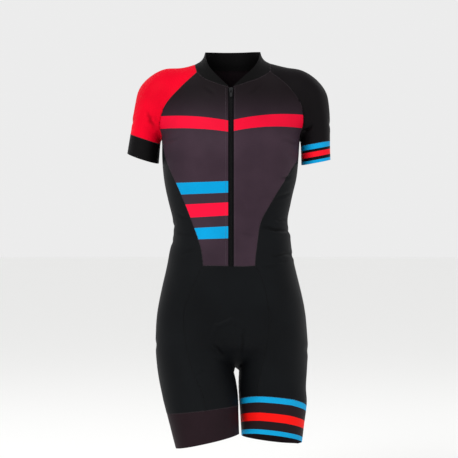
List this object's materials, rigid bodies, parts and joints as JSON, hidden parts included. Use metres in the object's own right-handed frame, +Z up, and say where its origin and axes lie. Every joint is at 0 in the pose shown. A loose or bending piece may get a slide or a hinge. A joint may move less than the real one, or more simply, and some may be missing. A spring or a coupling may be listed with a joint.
{
  "type": "cycling skinsuit",
  "caption": "Close-fitting short-sleeved one-piece cycling suit with a low standing collar, front zip, side panels and elastic cuffs and leg bands, in worn form.",
  "frame": {"origin": "middle of the neck base, level with the shoulders, where the wearer's shoulders carry the suit", "axes": "+Z up through the neck, -Y is the front with the zip, +X is the wearer's left"},
  "size_m": [0.4392, 0.258, 0.8578],
  "materials": {
    "front_knit": "dark aubergine stretch knit with a soft sheen, printed bands",
    "back_knit": "dark aubergine stretch knit",
    "black_knit": "cool black smooth stretch knit",
    "dark_sleeve_knit": "near-black stretch knit",
    "red_sleeve_knit": "bright crimson stretch knit",
    "striped_cuff_band": "dark elastic knit with blue and red stripes",
    "black_cuff_band": "black elastic knit",
    "collar_knit": "near-black double knit",
    "striped_leg_band": "dark plum elastic knit with blue and red stripes",
    "plum_leg_band": "dark plum elastic knit",
    "pad_foam": "foam pad faced with brushed knit",
    "zip_tape_weave": "black woven zip tape",
    "zip_coil_plastic": "black nylon coil",
    "zip_metal": "dark enamelled zinc alloy"
  },
  "bodies": {
    "suit": {"front_left": "front_knit", "front_right": "front_knit", "back": "back_knit", "side_left": "black_knit", "side_right": "black_knit", "sleeve_left": "dark_sleeve_knit", "sleeve_right": "red_sleeve_knit", "cuff_left": "striped_cuff_band", "cuff_right": "black_cuff_band", "collar": "collar_knit", "shorts_front": "black_knit", "seat": "black_knit", "leg_band_left": "striped_leg_band", "leg_band_right": "plum_leg_band", "seat_pad": "pad_foam", "zip_tape": "zip_tape_weave", "zip_coil": "zip_coil_plastic", "zip_slider": "zip_metal"},
    "zip_pull": {"zip_pull": "zip_metal"}
  },
  "joints": [
    {"name": "pull_hinge", "type": "hinge", "parent": "suit", "child": "zip_pull", "pos_m": [-0.00012, -0.08873, -0.06533], "axis": [-1, 0.0003, 0.0006], "range_deg": [0, 160]}
  ]
}
